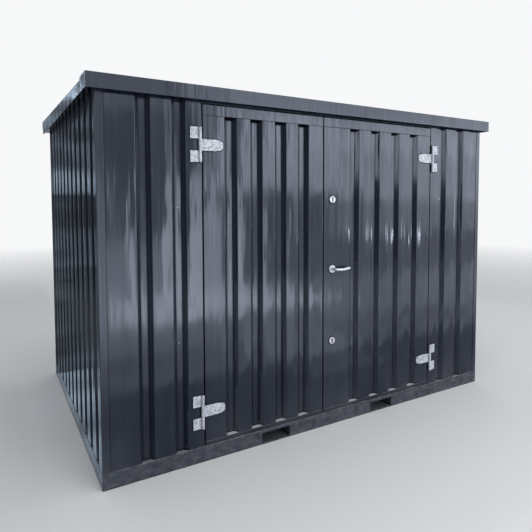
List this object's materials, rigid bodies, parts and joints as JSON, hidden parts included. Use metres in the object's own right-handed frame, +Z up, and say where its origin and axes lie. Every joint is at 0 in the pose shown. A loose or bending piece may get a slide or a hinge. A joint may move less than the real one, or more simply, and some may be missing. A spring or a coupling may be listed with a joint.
{
  "type": "storage container",
  "caption": "Steel storage container with grooved grey walls, a low pitched roof, fork pockets in the base and double doors on the long side.",
  "frame": {"origin": "on the ground under the middle of the container's whole box", "axes": "+X to the right seen from the doors, +Z up; the doors face -Y"},
  "size_m": [3.056, 2.1875, 2.184],
  "materials": {
    "anthracite_paint": "gloss",
    "galvanised_steel": "satin",
    "stainless_steel": "satin",
    "cylinder_nickel": "satin",
    "floor_board": "matte"
  },
  "bodies": {
    "root": {"base_rail_front": "anthracite_paint", "base_rail_back": "anthracite_paint", "base_rail_left": "anthracite_paint", "base_rail_right": "anthracite_paint", "corner_trims": "anthracite_paint", "door_head": "anthracite_paint", "front_wall_left": "anthracite_paint", "front_wall_right": "anthracite_paint", "side_wall_left": "anthracite_paint", "side_wall_right": "anthracite_paint", "back_wall": "anthracite_paint", "fascia_front": "anthracite_paint", "fascia_back": "anthracite_paint", "verge_trim_left": "anthracite_paint", "verge_trim_right": "anthracite_paint", "door_stop": "anthracite_paint", "fork_tunnels": "anthracite_paint", "floor_joists": "galvanised_steel", "corner_posts": "galvanised_steel", "door_jamb_left": "galvanised_steel", "door_jamb_right": "galvanised_steel", "top_rail_front": "galvanised_steel", "top_rail_back": "galvanised_steel", "top_rail_left": "galvanised_steel", "top_rail_right": "galvanised_steel", "roof_purlins": "galvanised_steel", "roof_sheet": "galvanised_steel", "left_hinge_leaves": "galvanised_steel", "right_hinge_leaves": "galvanised_steel", "floor_deck": "floor_board"},
    "left_door": {"left_door_skin": "anthracite_paint", "left_door_caps": "anthracite_paint", "left_door_rails": "galvanised_steel", "left_hinge_straps": "galvanised_steel"},
    "right_door": {"right_door_skin": "anthracite_paint", "right_door_caps": "anthracite_paint", "right_door_rails": "galvanised_steel", "right_hinge_straps": "galvanised_steel", "lock_cases": "galvanised_steel", "handle_roses": "stainless_steel", "lock_roses": "stainless_steel", "key_cylinders": "cylinder_nickel"},
    "lever": {"lever_outside": "stainless_steel", "lever_inside": "stainless_steel", "lever_spindle": "stainless_steel"}
  },
  "joints": [
    {"name": "left_door_hinge", "type": "hinge", "parent": "root", "child": "left_door", "pos_m": [-0.927, -1.04625, 0.2], "axis": [0, 0, -1], "range_deg": [0, 170]},
    {"name": "right_door_hinge", "type": "hinge", "parent": "root", "child": "right_door", "pos_m": [0.927, -1.04625, 0.2], "axis": [0, 0, 1], "range_deg": [0, 170]},
    {"name": "lever_turn", "type": "hinge", "parent": "right_door", "child": "lever", "pos_m": [-0.007, -1.08425, 1.061], "axis": [0, 1, 0], "range_deg": [0, 45], "stiffness_Nm_per_rad": 1.2, "springref_deg": -20.05}
  ]
}
